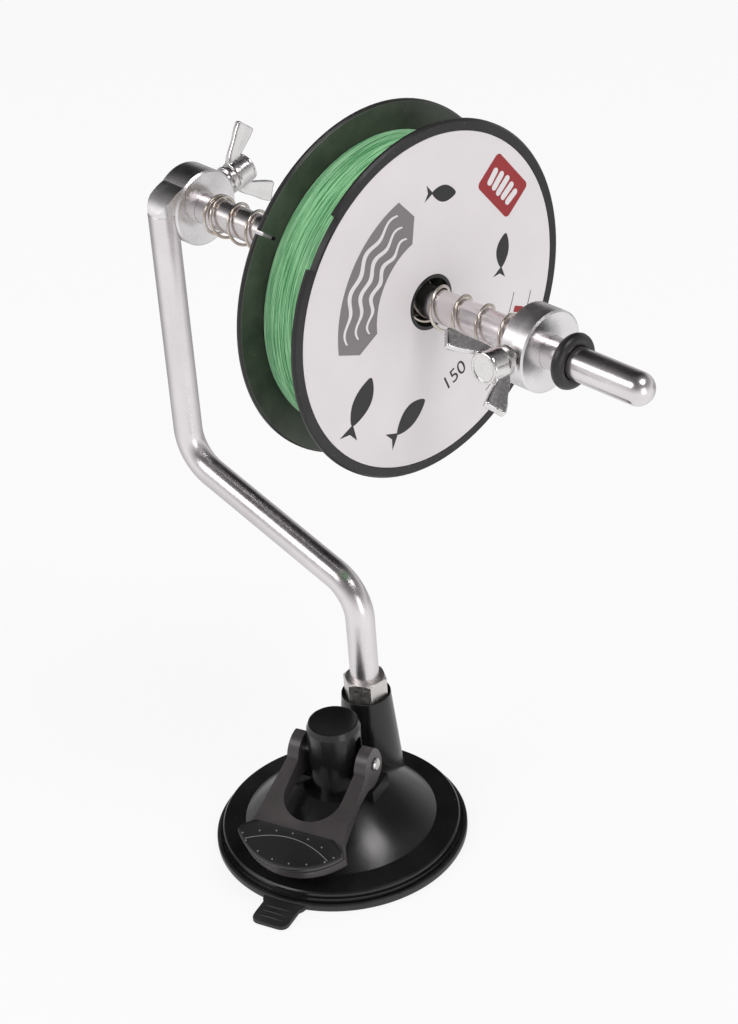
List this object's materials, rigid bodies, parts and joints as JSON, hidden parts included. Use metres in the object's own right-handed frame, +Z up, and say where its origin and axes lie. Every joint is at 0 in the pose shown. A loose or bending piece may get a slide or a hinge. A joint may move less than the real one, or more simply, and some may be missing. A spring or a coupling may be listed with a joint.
{
  "type": "fishing line winder",
  "caption": "Suction-cup stand whose cranked rod carries a horizontal spindle; a spool of line turns on it between coil springs, held by collars with wing screws.",
  "frame": {"origin": "centre of the suction cup's resting face, on the surface that it stands on", "axes": "+Z up; +X along the spindle, from the rear collar towards its free round end; the cup's lever points to azimuth -71 degrees"},
  "size_m": [0.2136, 0.1541, 0.266],
  "materials": {
    "cup_rubber": "satin black rubber",
    "housing_plastic": "polished black plastic",
    "insert_brass": "plain turned brass",
    "stem_plastic": "plain black plastic",
    "pin_steel": "plain steel",
    "spring_steel": "bright spring wire",
    "lever_plastic": "polished black plastic",
    "pad_plastic": "satin black plastic",
    "rod_aluminium": "satin polished bar",
    "nut_steel": "plain plated steel",
    "collar_aluminium": "turned satin",
    "wing_aluminium": "die-cast, bright",
    "spindle_aluminium": "satin polished bar",
    "ring_rubber": "black rubber",
    "spool_plastic": "satin black plastic",
    "label_card": "white printed card",
    "line_braid": "tightly wound green braided line"
  },
  "bodies": {
    "base": {"suction_cup": "cup_rubber", "base_housing": "housing_plastic", "socket_insert": "insert_brass", "return_spring": "spring_steel"},
    "stem": {"lift_stem": "stem_plastic", "pivot_pin": "pin_steel"},
    "lever_arm": {"lever": "lever_plastic", "thumb_pad": "pad_plastic"},
    "arm": {"bent_rod": "rod_aluminium", "jam_nut": "nut_steel", "rear_collar": "collar_aluminium"},
    "rear_screw": {"rear_wing_screw": "wing_aluminium"},
    "spindle_set": {"spindle": "spindle_aluminium", "stop_ring": "ring_rubber", "rear_spring": "spring_steel", "front_spring": "spring_steel"},
    "front_stop": {"front_collar": "collar_aluminium"},
    "front_screw": {"front_wing_screw": "wing_aluminium"},
    "spool": {"spool_rear_half": "spool_plastic", "spool_front_half": "spool_plastic", "rear_label": "label_card", "front_label": "label_card", "line_core": "line_braid", "line_winding": "line_braid"}
  },
  "joints": [
    {"name": "stem_lift", "type": "slide", "parent": "base", "child": "stem", "axis": [0, 0, 1], "range_m": [-0.0038, 0], "deforming": ["suction_cup", "return_spring"]},
    {"name": "lever_turn", "type": "hinge", "parent": "stem", "child": "lever_arm", "pos_m": [0, 0, 0.034], "axis": [-0.9455, -0.3256, 0], "range_deg": [0, 95]},
    {"name": "arm_swivel", "type": "hinge", "parent": "base", "child": "arm", "pos_m": [-0.00824, 0.02392, 0.042], "axis": [0, 0, 1], "range_deg": [-180, 180]},
    {"name": "rear_screw_turn", "type": "hinge", "parent": "arm", "child": "rear_screw", "pos_m": [-0.09324, 0.03852, 0.2058], "axis": [0, 0.9816, 0.1908], "range_deg": [0, 360]},
    {"name": "spindle_slide", "type": "slide", "parent": "arm", "child": "spindle_set", "axis": [1, 0, 0], "range_m": [-0.0045, 0.006]},
    {"name": "spool_spin", "type": "hinge", "parent": "spindle_set", "child": "spool", "pos_m": [0.00851, 0.03852, 0.2058], "axis": [1, 0, 0], "continuous": true},
    {"name": "front_collar_slide", "type": "slide", "parent": "spindle_set", "child": "front_stop", "axis": [1, 0, 0], "range_m": [-0.02, 0.004], "deforming": ["front_spring"]},
    {"name": "front_screw_turn", "type": "hinge", "parent": "front_stop", "child": "front_screw", "pos_m": [0.06886, 0.03852, 0.2058], "axis": [0, -0.9903, 0.1392], "range_deg": [0, 360]}
  ],
  "couplings": [
    {"joint": "stem_lift", "follows": "lever_turn", "m_per_rad": -0.00229}
  ]
}
